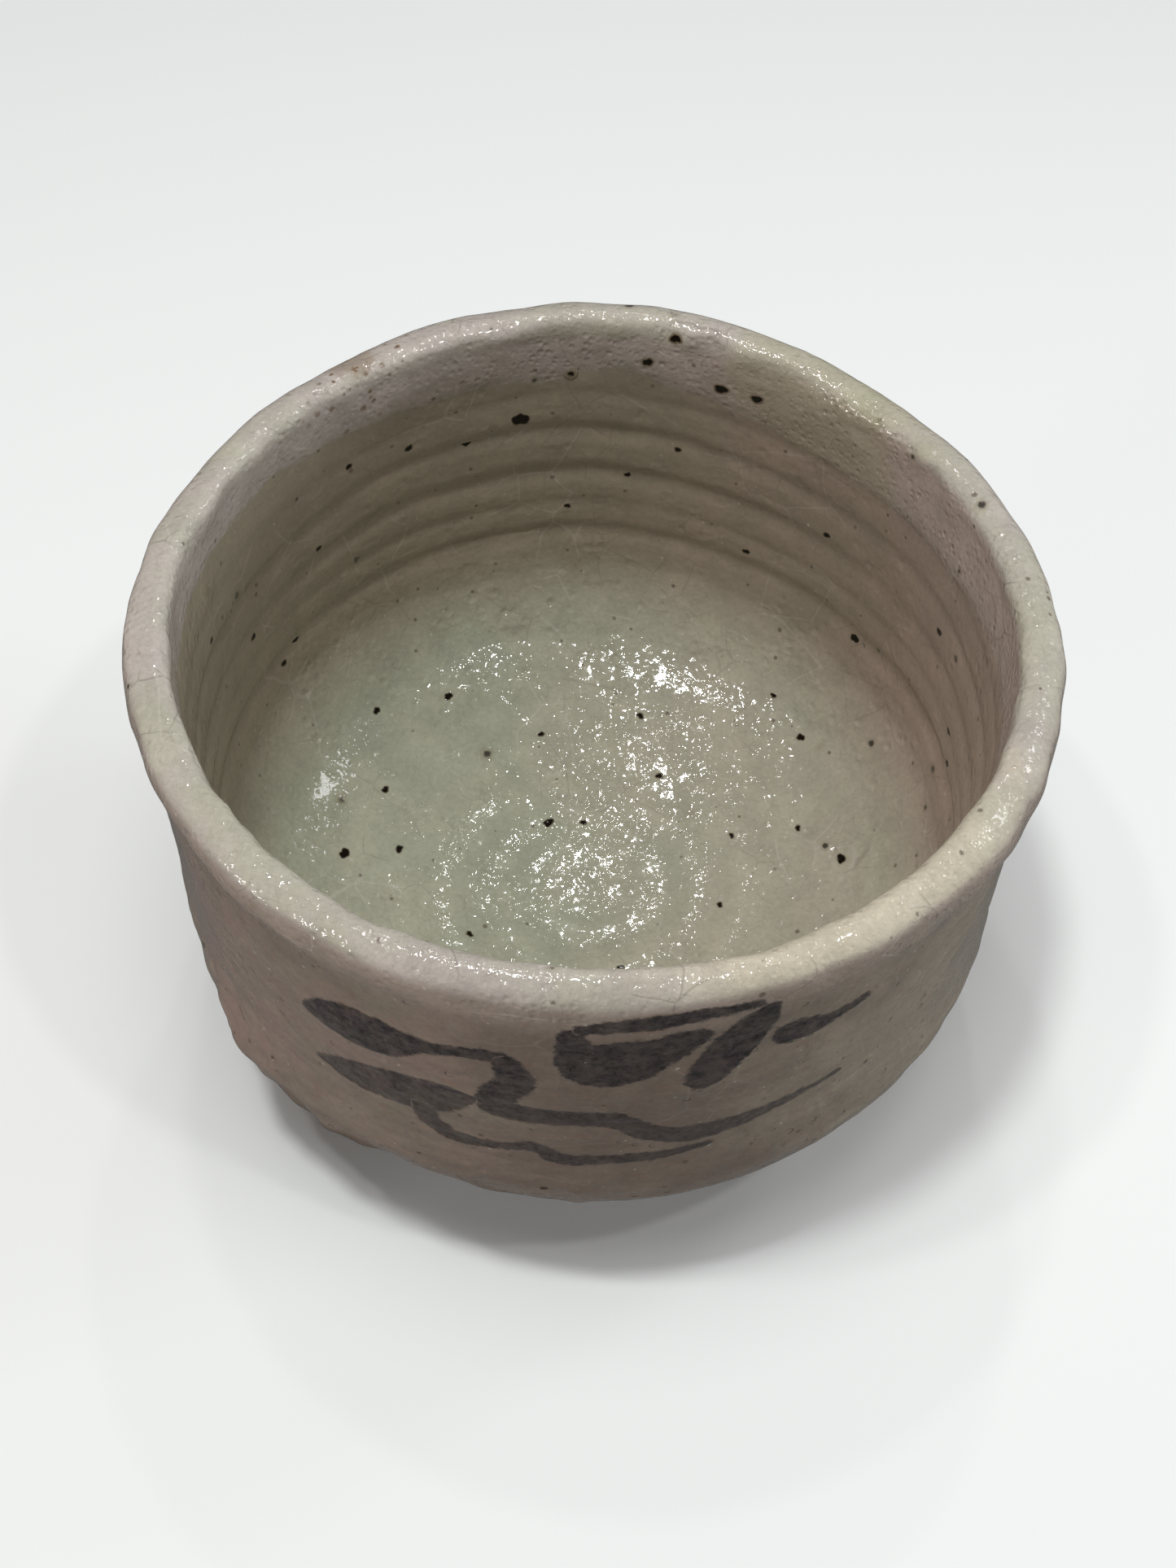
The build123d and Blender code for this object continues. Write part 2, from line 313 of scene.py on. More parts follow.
def surface(s, theta, lift=0.0):
    """Points of the bowl in millimetres, lift above the glaze surface at (s, theta)."""
    s, theta = np.broadcast_arrays(np.asarray(s, float), np.asarray(theta, float))
    r, z, normal_r, normal_z = SECTION.at(s)
    flat = turned(r, theta, z)
    inside = s < SECTION.lip_top
    wide = gradient_noise(flat, 30, 1)
    middle = gradient_noise(flat, 11, 2)
    small = gradient_noise(flat, 5, 3)
    relief = 0.10 * middle + 0.035 * small
    relief += 0.035 * gradient_noise(flat, 2.6, 4) + 0.022 * gradient_noise(flat, 1.5, 5)
    relief += inside * inside_relief(flat, theta, r, z, wide, middle)
    relief += (~inside) * outside_relief(flat, theta, z, middle, small)
    r = r + normal_r * (relief + lift)
    z = z + normal_z * (relief + lift)

    # The lip's height and its two edges wander, and the inner edge is faceted
    facets = 0.5 - 1.3 * np.abs(gradient_noise(flat, 9, 9))
    facets = facets * smoothstep(SEAM_Z, HEIGHT - 1, z)
    rise = around(theta, LIP_LIFT) + 0.25 * middle
    inner_shift = around(theta, LIP_INNER) + 0.2 * small + 0.2 * middle - 0.5 * facets
    inner_shift = inner_shift * smoothstep(HEIGHT - 13, HEIGHT - 5, z)
    at_lip = smoothstep(SEAM_Z - 5, SEAM_Z, z)
    knobs = around(theta, KNOBS) * gradient_noise(flat, 6, 14)
    outer_shift = (around(theta, LIP_OUTWARD) + 0.15 * middle + knobs) * at_lip
    sway = (around(theta, WALL_SWAY) + 0.25 * wide) * smoothstep(16, 40, z)
    outer_shift = outer_shift + sway * (1 - at_lip)
    outer_shift = outer_shift + knobs * bump(WAIST_Z - 2, 8, z)
    over = smoothstep(SECTION.lip_top - 1.0, SECTION.lip_top + 3.0, s)
    r = r + inner_shift * (1 - over) + outer_shift * over
    z = z + smoothstep(48, HEIGHT, z) * rise
    return turned(r, theta, z)


# ---------------------------------------------------------------- meshes


def make_object(name, points, faces, body="root"):
    """A smooth-shaded mesh object from millimetre points, which rides on a body."""
    mesh = bpy.data.meshes.new(name)
    mesh.from_pydata((np.asarray(points) * MM).tolist(), [], faces)
    mesh.shade_smooth()
    mesh.update()
    piece = bpy.data.objects.new(name, mesh)
    bpy.context.scene.collection.objects.link(piece)
    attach(piece, body)
    return piece


def turned_piece(name, rings, poles):
    """A closed piece from rings (rows, angles, 3): from pole to pole, or a closed loop."""
    rows, count = rings.shape[:2]
    points = rings.reshape(-1, 3)
    j = np.arange(count)
    ahead = (j + 1) % count
    faces = []
    for row in range(rows if poles is None else rows - 1):
        here, there = row * count, (row + 1) % rows * count
        faces += np.stack([here + j, there + j, there + ahead, here + ahead], 1).tolist()
    if poles is not None:
        points = np.concatenate([points, poles])
        first, last = len(points) - 2, len(points) - 1
        end = (rows - 1) * count
        faces += np.stack([j * 0 + first, j, ahead], 1).tolist()
        faces += np.stack([j * 0 + last, end + ahead, end + j], 1).tolist()
    return make_object(name, points, faces)


def add_attribute(piece, name, values):
    """Stores a number in millimetres with each vertex, for the materials."""
    attribute = piece.data.attributes.new(name, "FLOAT", "POINT")
    attribute.data.foreach_set("value", np.asarray(values, np.float32).ravel())


def angles(count):
    """Evenly spaced angles round the bowl, starting at the back."""
    return np.linspace(-math.pi, math.pi, count, endpoint=False)


def band(start, end, theta, rows, lift):
    """Rings from s=start to s=end, each a number or one per angle, at that lift."""
    share = np.linspace(0, 1, rows)[:, None]
    s = start + (end - start) * share
    return surface(s, theta[None, :], lift)


def make_inside_coat():
    """The poured coat: from the centre of the floor to just under the second coat."""
    theta = angles(640)
    start, top, rows = 0.4, SECTION.inside_at(SEAM_Z), 140
    face = band(start, top, theta, rows, 0.0)
    back = band(top, start, theta, 8, -COAT)
    poles = surface([0.0, 0.0], [0.0, 0.0], np.array([0.0, -COAT]))
    piece = turned_piece("inside_coat", np.concatenate([face, back]), poles)
    marks = throwing_marks(np.linspace(start, top, rows)[:, None], theta[None, :])
    hidden = np.zeros(back[..., 0].size + len(poles))
    add_attribute(piece, "marks", np.concatenate([marks.ravel(), hidden]))
    return piece


def make_lip_coat():
    """The second coat over the lip, proud of the others, with an edge that wanders."""
    theta = angles(720)
    edge = surface(SECTION.lip_top, theta)
    wander = 0.9 * gradient_noise(edge, 9, 11) + 0.35 * gradient_noise(edge, 3.5, 12)
    inside_end = SECTION.inside_at(HEIGHT - around(theta, OVERLAP_DEPTH) + wander)
    outside_end = SECTION.outside_at(HEIGHT - OUTSIDE_OVERLAP + 0.6 * wander)
    share = np.linspace(0, 1, 70)[:, None]
    s = inside_end + (outside_end - inside_end) * share
    lift = SECOND_COAT * smoothstep(0, 2.4, s - inside_end)
    lift = lift * smoothstep(0, 5.5, outside_end - s) - 0.02
    face = surface(s, theta[None, :], lift)
    back = band(outside_end, inside_end, theta, 12, -COAT)
    piece = turned_piece("lip_coat", np.concatenate([face, back]), None)
    from_edge = np.minimum(s - inside_end, outside_end - s)
    hidden = np.zeros(back[..., 0].size)
    add_attribute(piece, "edge", np.concatenate([from_edge.ravel(), hidden]))
    return piece


def make_outside_coat():
    """The dipped coat on the outside, down to the glaze line above the foot."""
    theta = angles(700)
    top = SECTION.outside_at(SEAM_Z)
    line = surface(SECTION.end, theta)
    end = SECTION.end + 1.3 * gradient_noise(line, 14, 13) - 1.4
    share = np.linspace(0, 1, 134)[:, None]
    s = top + (end - top) * share
    lift = -COAT * (1 - np.sqrt(np.clip((end - s) / 1.2, 0, 1)))
    face = surface(s, theta[None, :], lift)
    back = band(end, top, theta, 8, -COAT)
    return turned_piece("outside_coat", np.concatenate([face, back]), None)


def make_clay_body():
    """The thrown clay under the glaze, with its bare underside as the trimming tool left it."""
    theta = angles(360)
    covered = band(0.5, SECTION.end, theta, 150, -COAT)
    radii = np.linspace(BARE_RADIUS - 0.6, 0.8, 60)
    base = np.clip((radii - FOOT_RADIUS) / (BARE_RADIUS - FOOT_RADIUS), 0, 1)
    r, angle = np.meshgrid(radii, theta, indexing="ij")
    flat = turned(r, angle, 0 * r)
    low = FOOT_TOP_Z + (GLAZE_LINE_Z + COAT - FOOT_TOP_Z) * base[:, None]
    turning = 0.12 * np.cos(TAU * (r / 2.4 - angle / TAU)) + 0.08 * gradient_noise(flat, 3, 14)
    under = turned(r, angle, low + turning - bump(0, 4.0, r))
    poles = np.array([surface(0.0, 0.0, -COAT), [0, 0, under[-1, :, 2].mean()]])
    return turned_piece("clay_body", np.concatenate([covered, under]), poles)


def make_foot():
    """The foot ring, bare clay, slightly uneven, with its standing face worn smooth."""
    theta = angles(420)
    outline = hermite(FOOT_POINTS, 0.3)
    r = outline[:, :1] + 0 * theta[None, :]
    z = outline[:, 1:] + 0 * theta[None, :]
    angle = theta[None, :] + 0 * r
    flat = turned(r, angle, z)
    rough = 0.16 * gradient_noise(flat, 7, 15) + 0.07 * gradient_noise(flat, 2.2, 16)
    outward = np.where(r > FOOT_MIDDLE, 1, -1)
    r = r + outward * smoothstep(0.0, 1.5, z) * rough
    z = np.maximum(z + 0.5 * rough * smoothstep(0.05, 0.8, z), 0)
    return turned_piece("foot", turned(r, angle, z), None)


# ---------------------------------------------------------------- brushwork and iron spots

# The brush strokes, within about 1.5 mm of part.py's: distance round the wall from the front,
# height, half width
BRUSHWORK = {
    "brush_upper_leaf": [
        (-35.6, 58.6, 1.0), (-33, 59.6, 2.8), (-29, 60.8, 4.2), (-25, 61.6, 3.9),
        (-21, 62.8, 2.2), (-17, 63.9, 1.2), (-12, 65.2, 1.1), (-9, 65.3, 1.2),
    ],
    "brush_middle_line": [
        (-8, 63.9, 2.0), (-7, 60.5, 2.5), (-9.2, 56.5, 2.5), (-9.8, 53.8, 2.4),
        (-6, 52.5, 2.2), (0, 52.5, 2.0), (6, 51.7, 2.0), (10, 48.1, 2.0),
        (15, 46.5, 2.2), (21, 46.9, 1.9), (27, 48.0, 1.2), (36, 49.4, 0.6),
    ],
    "brush_lower_leaf": [
        (-35, 46.2, 0.8), (-31, 47.2, 2.6), (-26, 48.7, 3.8), (-21, 50.5, 3.9),
        (-17, 52.2, 3.4), (-13, 53.9, 1.2),
    ],
    "brush_lower_line": [
        (-19.2, 47.5, 1.8), (-18.4, 44.6, 1.9), (-15.6, 42.6, 1.6), (-9, 42.7, 1.1),
        (-4, 43.4, 1.3), (-1.5, 41.0, 1.5), (4, 40.8, 1.3), (11, 41.4, 1.2),
        (18, 42.6, 0.8),
    ],
    "brush_centre_dab": [
        (-0.6, 71.8, 1.7), (0.2, 68.8, 2.6), (2.4, 65.7, 4.4), (5.7, 66.4, 4.8),
        (9.6, 68.2, 3.5), (12.8, 70.0, 2.5), (15, 71.2, 1.5),
    ],
    "brush_top_line": [
        (0.6, 73.4, 1.0), (4.4, 74.4, 1.3), (9, 75.0, 1.4), (14, 75.4, 1.3),
        (18.8, 75.6, 1.0), (22, 75.4, 0.8),
    ],
    "brush_right_dab": [
        (16, 61.3, 2.5), (18, 65.0, 3.2), (20.4, 69.0, 3.3), (22.4, 72.2, 2.4),
        (23.6, 73.8, 1.3),
    ],
    "brush_right_flick": [
        (26.8, 66.8, 2.4), (29.2, 66.2, 2.1), (32.6, 66.0, 1.2), (37.6, 66.8, 0.7),
    ],
}
# Iron spots on the floor, as in part.py: degrees round from the front, radius, width
FLOOR_SPECKS = [
    (206, 14, 1.5), (268, 38, 1.6), (262, 30, 1.2), (300, 20, 1.0), (318, 24, 1.5),
    (96, 41, 1.5), (152, 25, 1.0), (62, 40, 0.9), (108, 36, 0.9), (216, 41, 1.2),
    (232, 45, 1.1), (246, 36, 1.1), (24, 16, 0.9), (182, 13, 0.9), (128, 44, 1.2),
    (139, 46, 0.9), (196, 30, 0.9), (84, 22, 0.9), (42, 28, 0.8), (166, 34, 1.0),
    (176, 47, 1.0), (181, 48, 0.9), (158, 48, 0.9), (114, 26, 0.8),
]
# and on the wall, as in part.py but for the five nearest the lip: degrees, height, width
WALL_SPECKS = [
    (194, 62, 2.3), (203, 59, 1.3), (213, 62, 1.1), (224, 64, 0.9), (162, 71, 1.7),
    (156, 71.5, 1.5), (140, 52, 1.0), (112, 55, 1.1), (250, 48, 1.0), (176, 50, 0.9),
    (154, 40, 1.0), (186, 43, 0.8), (232, 52, 0.9), (101, 44, 1.2), (98, 40, 1.0),
    (262, 60, 0.9), (240, 38, 1.3), (244, 36, 1.0), (130, 36, 1.5), (168, 57, 0.8),
    (174, 73, 1.3), (170, 78, 1.4), (186, 70, 0.8),
]
SOFT_EDGE = 1.0  # how far a stroke runs past its ink, where it looks like plain glaze
SPOT_EDGE = 0.7 * SOFT_EDGE
PAINT_GRID = 0.36  # side of the squares that a stroke is made of
PAINT_LIFT = 0.012  # how far a painted piece stands over the glaze
PAINT_DEPTH = 0.3  # how far it reaches into the glaze


def make_stroke(name, points, lift):
    """A brush stroke as a thin plate in the glaze: grid squares near the stroke's line."""
    line = hermite(points, 0.25)
    margin = line[:, 2].max() + SOFT_EDGE + PAINT_GRID
    low, high = line.min(0) - margin, line.max(0) + margin
    along = np.arange(low[0], high[0], PAINT_GRID)
    height = np.arange(low[1], min(high[1], HEIGHT - 2.8), PAINT_GRID)
    x, z = np.meshgrid(along, height)
    gap = np.hypot(x[..., None] - line[:, 0], z[..., None] - line[:, 1])
    edge = (line[:, 2] - gap).max(-1)
    keep = edge > -SOFT_EDGE
    square = keep[1:, 1:] & keep[:-1, 1:] & keep[1:, :-1] & keep[:-1, :-1]
    s = SECTION.outside_at(z)
    theta = x / WALL_RADIUS
    # The highest strokes rise with the second coat, which would hide them otherwise
    lift = lift + 0.11 * smoothstep(HEIGHT - 7.5, HEIGHT - 2, z)
    rise = lift - (lift + 0.05) * (1 - smoothstep(-SOFT_EDGE, 0, edge))
    top = surface(s, theta, rise)
    back = surface(s, theta, -PAINT_DEPTH)
    rows, columns = np.nonzero(square)
    across = square.shape[1] + 1
    corner = rows * across + columns
    faces = np.stack([corner, corner + 1, corner + across + 1, corner + across], 1)
    count = top[..., 0].size
    under = faces[:, ::-1] + count
    sides = border_faces(faces, count)
    used, order = np.unique(np.concatenate([faces, under, sides]), return_inverse=True)
    vertices = np.concatenate([top.reshape(-1, 3), back.reshape(-1, 3)])[used]
    piece = make_object(name, vertices, order.reshape(-1, 4).tolist())
    add_attribute(piece, "edge", np.concatenate([edge.ravel(), edge.ravel()])[used])
    return piece


def border_faces(faces, count):
    """Side faces that join a sheet's open border to the same border of the sheet behind it."""
    edges = np.concatenate([faces[:, [i, (i + 1) % 4]] for i in range(4)])
    known = {tuple(edge) for edge in edges.tolist()}
    border = np.array([edge for edge in edges.tolist() if (edge[1], edge[0]) not in known])
    start, end = border[:, 0], border[:, 1]
    return np.stack([end, start, start + count, end + count], 1)


def lens_faces(first, spokes, rings):
    """Faces of a lens whose points are its top, then its rings, then its bottom."""
    j = np.arange(spokes)
    ahead = (j + 1) % spokes
    faces = np.stack([j * 0 + first, first + 1 + ahead, first + 1 + j], 1).tolist()
    for ring in range(rings - 1):
        here = first + 1 + ring * spokes
        there = here + spokes
        faces += np.stack([here + j, here + ahead, there + ahead, there + j], 1).tolist()
    outer = first + 1 + (rings - 1) * spokes
    faces += np.stack([j * 0 + outer + spokes, outer + j, outer + ahead], 1).tolist()
    return faces


def make_specks(name):
    """Iron spots in the inside glaze: small thin lenses with ragged outlines."""
    random = np.random.default_rng(21)
    places = [(d, floor_length(r), w) for d, r, w in FLOOR_SPECKS]
    places += [(d, SECTION.inside_at(z), w) for d, z, w in WALL_SPECKS]
    spokes, rings = 28, 9
    on_lip = SECTION.inside_at(HEIGHT - 11)  # past here a spot lies on the second coat
    points, faces, edges = [], [], []
    for degrees, s, width in places:
        radius = width / 2
        reach = (radius + SPOT_EDGE) * np.linspace(1 / rings, 1, rings)[:, None]
        turn = np.linspace(0, TAU, spokes, endpoint=False)[None, :]
        ragged = 0.20 * np.cos(2 * turn + random.uniform(-1, 1))
        ragged = ragged + 0.09 * np.cos(3 * turn + random.uniform(0, TAU))
        ragged = ragged + 0.06 * np.cos(5 * turn + random.uniform(0, TAU))
        edge = radius * (1 + ragged) - reach
        r = SECTION.at(s)[0]
        theta = math.radians(degrees) + reach * np.cos(turn) / r
        along = s + reach * np.sin(turn)
        top = PAINT_LIFT + SECOND_COAT * float(s > on_lip)
        rise = top - 0.06 * (1 - smoothstep(-SPOT_EDGE, 0, edge))
        first = len(points)
        points += surface([s], [math.radians(degrees)], top).tolist()
        points += surface(along, theta, rise).reshape(-1, 3).tolist()
        points += surface([s], [math.radians(degrees)], -PAINT_DEPTH).tolist()
        edges += [radius] + edge.ravel().tolist() + [radius]
        faces += lens_faces(first, spokes, rings)
    piece = make_object(name, points, faces)
    add_attribute(piece, "edge", edges)
    return piece


def floor_length(radius):
    """Length s at which the floor has that radius."""
    corner = int(np.searchsorted(SECTION.r, 50))
    return float(np.interp(radius, SECTION.r[:corner], SECTION.s[:corner]))


# ---------------------------------------------------------------- materials


def rgb(red, green, blue):
    """A linear colour for a shader."""
    return (red, green, blue, 1.0)


# Places on the lip, and how far each reaches
RUSTY_LIP = (-38.0, 46.0, 79.5)  # speckled with rust, with a stain in the middle
RUST_REACH, STAIN_REACH = 13.0, 5.0
ASHY_LIP, ASH_REACH = (34.0, 49.0, 79.0), 22.0  # tinged yellow
SHEEN_LIP, SHEEN_REACH = (34.0, -46.0, 79.5), 34.0  # painted sheen: the crest is painted paler and golden around here

# Colours of the glaze by zone, of what speckles it, of the ink and of the clay
FLOOR_GREENISH, FLOOR_BUFF = rgb(0.325, 0.33, 0.25), rgb(0.39, 0.345, 0.27)
FLOOR_CLOUD = rgb(0.37, 0.35, 0.265)
WALL_BROWN, WALL_PINK = rgb(0.315, 0.265, 0.195), rgb(0.41, 0.295, 0.24)
OUTSIDE_PINK, OUTSIDE_OLIVE = rgb(0.265, 0.19, 0.158), rgb(0.235, 0.195, 0.15)
# Painted shade: the front colour outside is darker, as that side faces away from the lamps
OUTSIDE_FRONT_SHADE, OUTSIDE_RIGHT = rgb(0.19, 0.147, 0.118), rgb(0.275, 0.225, 0.17)
OUTSIDE_HIGH, OUTSIDE_LOW = rgb(0.32, 0.255, 0.21), rgb(0.11, 0.08, 0.06)
REDDISH, GREYISH = rgb(0.22, 0.125, 0.095), rgb(0.16, 0.15, 0.13)
BAND_LEFT, BAND_RIGHT = rgb(0.44, 0.375, 0.34), rgb(0.47, 0.365, 0.325)
CREST_PINK, CREST_OLIVE = rgb(0.48, 0.42, 0.38), rgb(0.46, 0.43, 0.345)
# Painted sheen: a pale golden crest colour that stands in for a lamp's sheen on the lip
CREST_SHEEN = rgb(0.60, 0.53, 0.41)
CRAZE_DARK, CRAZE_PALE = rgb(0.14, 0.11, 0.09), rgb(0.62, 0.55, 0.50)
HALO, FLECK, SPOT = rgb(0.22, 0.17, 0.10), rgb(0.10, 0.065, 0.045), rgb(0.028, 0.022, 0.018)
# Painted glints: pale flecks scattered in the glaze that stand in for tiny glints
PAINTED_GLINT = rgb(0.62, 0.57, 0.50)
RUST, STAIN, ASH = rgb(0.15, 0.085, 0.04), rgb(0.22, 0.14, 0.08), rgb(0.42, 0.40, 0.20)
INK_COOL, INK_WARM = rgb(0.052, 0.036, 0.044), rgb(0.050, 0.048, 0.038)
INK_THICK = rgb(0.012, 0.009, 0.009)
IRON_HALO, IRON_BLACK = rgb(0.17, 0.115, 0.06), rgb(0.008, 0.005, 0.003)
CLAY_DARK, CLAY_TOASTED = rgb(0.30, 0.21, 0.15), rgb(0.42, 0.31, 0.22)
CLAY_GRIT, CLAY_IRON = rgb(0.55, 0.47, 0.38), rgb(0.06, 0.04, 0.03)

# The orange peel of each zone: the size of its dimples and their depth, how few of them are
# deep, how much is left in the smooth patches, and the share of the finest dimples
PEEL = {
    "inside": (1.9, 0.26, 1.7, 0.35, 0.13),
    "lip": (1.15, 0.19, 1.0, 0.6, 0.24),
    "outside": (1.9, 0.14, 2.0, 0.3, 0.13),
}
CRAZING = {"inside": 0.22, "lip": 0.34, "outside": 0.08}  # strength of the crackle lines
SHINE = {"inside": 0.6, "lip": 0.6, "outside": 0.3}  # specular level
SPOT_SHINE = 0.15


class Nodes:
    """Short names for the shader nodes that the materials are made of."""

    def __init__(self, name):
        self.material = bpy.data.materials.new(name)
        self.material.use_nodes = True
        self.tree = self.material.node_tree
        self.tree.nodes.clear()

    def add(self, kind, inputs=(), **settings):
        """A node with its settings and its inputs, each a value or an output to join."""
        node = self.tree.nodes.new(kind)
        for key, value in settings.items():
            setattr(node, key, value)
        for key, value in dict(inputs).items():
            if isinstance(value, bpy.types.NodeSocket):
                self.tree.links.new(value, node.inputs[key])
            else:
                node.inputs[key].default_value = value
        return node

    def math(self, operation, a, b=0.0, clamp=False):
        """A sum, a product or the like of two values."""
        node = self.add("ShaderNodeMath", {0: a, 1: b}, operation=operation, use_clamp=clamp)
        return node.outputs[0]

    def step(self, value, low, high):
        """Smooth step of a value from low, where it is 0, to high, where it is 1."""
        inputs = {"Value": value, "From Min": low, "From Max": high}
        node = self.add("ShaderNodeMapRange", inputs, interpolation_type="SMOOTHSTEP")
        return node.outputs[0]

    def mix(self, factor, a, b, blend="MIX"):
        """Colour a where factor is 0, and b, or both blended, where it is 1."""
        inputs = {0: factor, 6: a, 7: b}
        return self.add("ShaderNodeMix", inputs, data_type="RGBA", blend_type=blend).outputs[2]

    def noise(self, vector, size, detail=2.0, roughness=0.5):
        """Noise from 0 to 1 with features about size millimetres across."""
        inputs = {"Vector": vector, "Scale": 1 / size, "Detail": detail, "Roughness": roughness}
        return self.add("ShaderNodeTexNoise", inputs).outputs["Fac"]

    def cells(self, vector, size, feature="F1"):
        """Voronoi cells about size millimetres across."""
        inputs = {"Vector": vector, "Scale": 1 / size}
        return self.add("ShaderNodeTexVoronoi", inputs, feature=feature)

    def scaled(self, value, factor, offset=0.0):
        """value * factor + offset"""
        return self.add(
            "ShaderNodeMath", {0: value, 1: factor, 2: offset}, operation="MULTIPLY_ADD"
        ).outputs[0]

    def channel(self, colour, index):
        """One of a colour's three channels as a value."""
        return self.add("ShaderNodeSeparateColor", {0: colour}).outputs[index]

    def finish(self, inputs):
        """Ends the tree with a principled shader that has these inputs."""
        shader = self.add("ShaderNodeBsdfPrincipled", inputs)
        self.add("ShaderNodeOutputMaterial", {0: shader.outputs[0]})

    def position(self):
        """Object coordinates in millimetres."""
        coordinates = self.add("ShaderNodeTexCoord").outputs["Object"]
        inputs = {0: coordinates, "Scale": 1 / MM}
        return self.add("ShaderNodeVectorMath", inputs, operation="SCALE").outputs[0]

    def attribute(self, name):
        """A number that the mesh stores with each vertex."""
        return self.add("ShaderNodeAttribute", attribute_name=name).outputs["Fac"]


def scatter(n, position, size, share, radius, shift):
    """Mask of round spots of that radius, one in some of the cells of that size."""
    moved = n.add("ShaderNodeVectorMath", {0: position, 1: (shift, shift, shift)}).outputs[0]
    cells = n.cells(moved, size)
    chosen = n.math("GREATER_THAN", n.channel(cells.outputs["Color"], 0), 1 - share)
    uneven = n.scaled(n.channel(cells.outputs["Color"], 1), 0.7, 0.55)
    ragged = n.scaled(n.noise(position, radius * 0.9), 0.8 * radius / size, -0.4 * radius / size)
    reach = n.math("ADD", cells.outputs["Distance"], ragged)
    spot = n.step(n.math("DIVIDE", reach, uneven), 1.3 * radius / size, 0.6 * radius / size)
    return n.math("MULTIPLY", spot, chosen)


def beside(n, position, place, reach):
    """Ragged mask of what lies within reach of a place, in millimetres."""
    away = n.add("ShaderNodeVectorMath", {0: position, 1: place}, operation="DISTANCE")
    ragged = n.scaled(n.noise(position, 0.4 * reach, 3), reach, -0.5 * reach)
    return n.step(n.math("ADD", away.outputs["Value"], ragged), reach, 0.5 * reach)


def crackle(n, position, size, width, least, most):
    """Mask of crackle lines between cells of that size, only in patches."""
    warp = n.add("ShaderNodeTexNoise", {"Vector": position, "Scale": 1 / size})
    shifted = n.add(
        "ShaderNodeVectorMath",
        {0: warp.outputs["Color"], 1: (0.25 * size,) * 3, 2: position},
        operation="MULTIPLY_ADD",
    ).outputs[0]
    edge = n.cells(shifted, size, "DISTANCE_TO_EDGE").outputs["Distance"]
    line = n.step(edge, width / size, 0.2 * width / size)
    return n.math("MULTIPLY", line, n.step(n.noise(position, 1.6 * size), least, most))


def inside_colour(n, z, side, clouds):
    """A greenish floor and a browner wall, both warmer towards the right."""
    floor = n.mix(n.step(side, -0.3, 0.75), FLOOR_GREENISH, FLOOR_BUFF)
    floor = n.mix(n.scaled(clouds, 0.5), floor, FLOOR_CLOUD)
    wall = n.mix(n.step(side, 0.05, 0.9), WALL_BROWN, WALL_PINK)
    return n.mix(n.step(z, 20, 36), floor, wall)


def outside_colour(n, z, side, clouds):
    """Pinkish at the left, painted darker in front as shade, and darker low down near the foot.
    """
    left = n.mix(clouds, OUTSIDE_PINK, OUTSIDE_OLIVE)
    # Painted shade: the front of the outside is given a darker colour
    front = n.mix(n.step(side, -0.65, -0.05), left, OUTSIDE_FRONT_SHADE)
    outside = n.mix(n.step(side, 0.15, 0.85), front, OUTSIDE_RIGHT)
    outside = n.mix(n.step(z, HEIGHT - 9, HEIGHT - 3), outside, OUTSIDE_HIGH)
    low = n.step(n.math("ADD", z, n.scaled(side, 7.0)), 25.2, 22.2)
    return n.mix(low, outside, OUTSIDE_LOW)


def lip_colour(n, position, side, clouds, inside, outside):
    """The second coat: a pink band, a pale crest with a painted sheen at the right front, and
    its neighbours' colours at its edge.
    """
    x, y, z = n.add("ShaderNodeSeparateXYZ", {0: position}).outputs
    band = n.mix(n.step(side, -0.2, 0.8), BAND_LEFT, BAND_RIGHT)
    crest = n.mix(clouds, CREST_PINK, CREST_OLIVE)
    # Painted sheen: the crest is painted paler and golden at the right front
    sheen = beside(n, position, SHEEN_LIP, SHEEN_REACH)
    crest = n.mix(n.scaled(sheen, 0.85), crest, CREST_SHEEN)
    lip = n.mix(n.step(z, HEIGHT - 3.5, HEIGHT - 0.8), band, crest)
    radius = n.math("SQRT", n.math("ADD", n.math("POWER", x, 2.0), n.math("POWER", y, 2.0)))
    outer = n.step(radius, INNER_RADIUS + 1.3, WALL_RADIUS - 1.6)
    lip = n.mix(n.math("MULTIPLY", outer, n.step(z, HEIGHT - 0.5, HEIGHT - 3.0)), lip, outside)
    neighbour = n.mix(outer, inside, outside)
    ragged = n.scaled(n.noise(position, 3.0, 4, 0.6), 4.0, -2.0)
    cover = n.step(n.math("ADD", n.attribute("edge"), ragged), -0.4, 1.3)
    return n.mix(cover, neighbour, lip)


def outside_patches(n, position, colour):
    """Faint streaks left by the turning outside, with reddish and greyish patches."""
    flat = n.add("ShaderNodeMapping", {0: position, "Scale": (1.0, 1.0, 2.0)}).outputs[0]
    streaks = n.step(n.noise(flat, 7.0, 4, 0.6), 0.30, 0.70)
    colour = n.mix(1.0, colour, n.scaled(streaks, 0.15, 0.87), "MULTIPLY")
    reddish = n.step(n.noise(flat, 3.2, 4, 0.6), 0.57, 0.70)
    colour = n.mix(n.scaled(reddish, 0.45), colour, REDDISH)
    greyish = n.step(n.noise(position, 4.0, 4, 0.6), 0.56, 0.70)
    return n.mix(n.scaled(greyish, 0.30), colour, GREYISH)


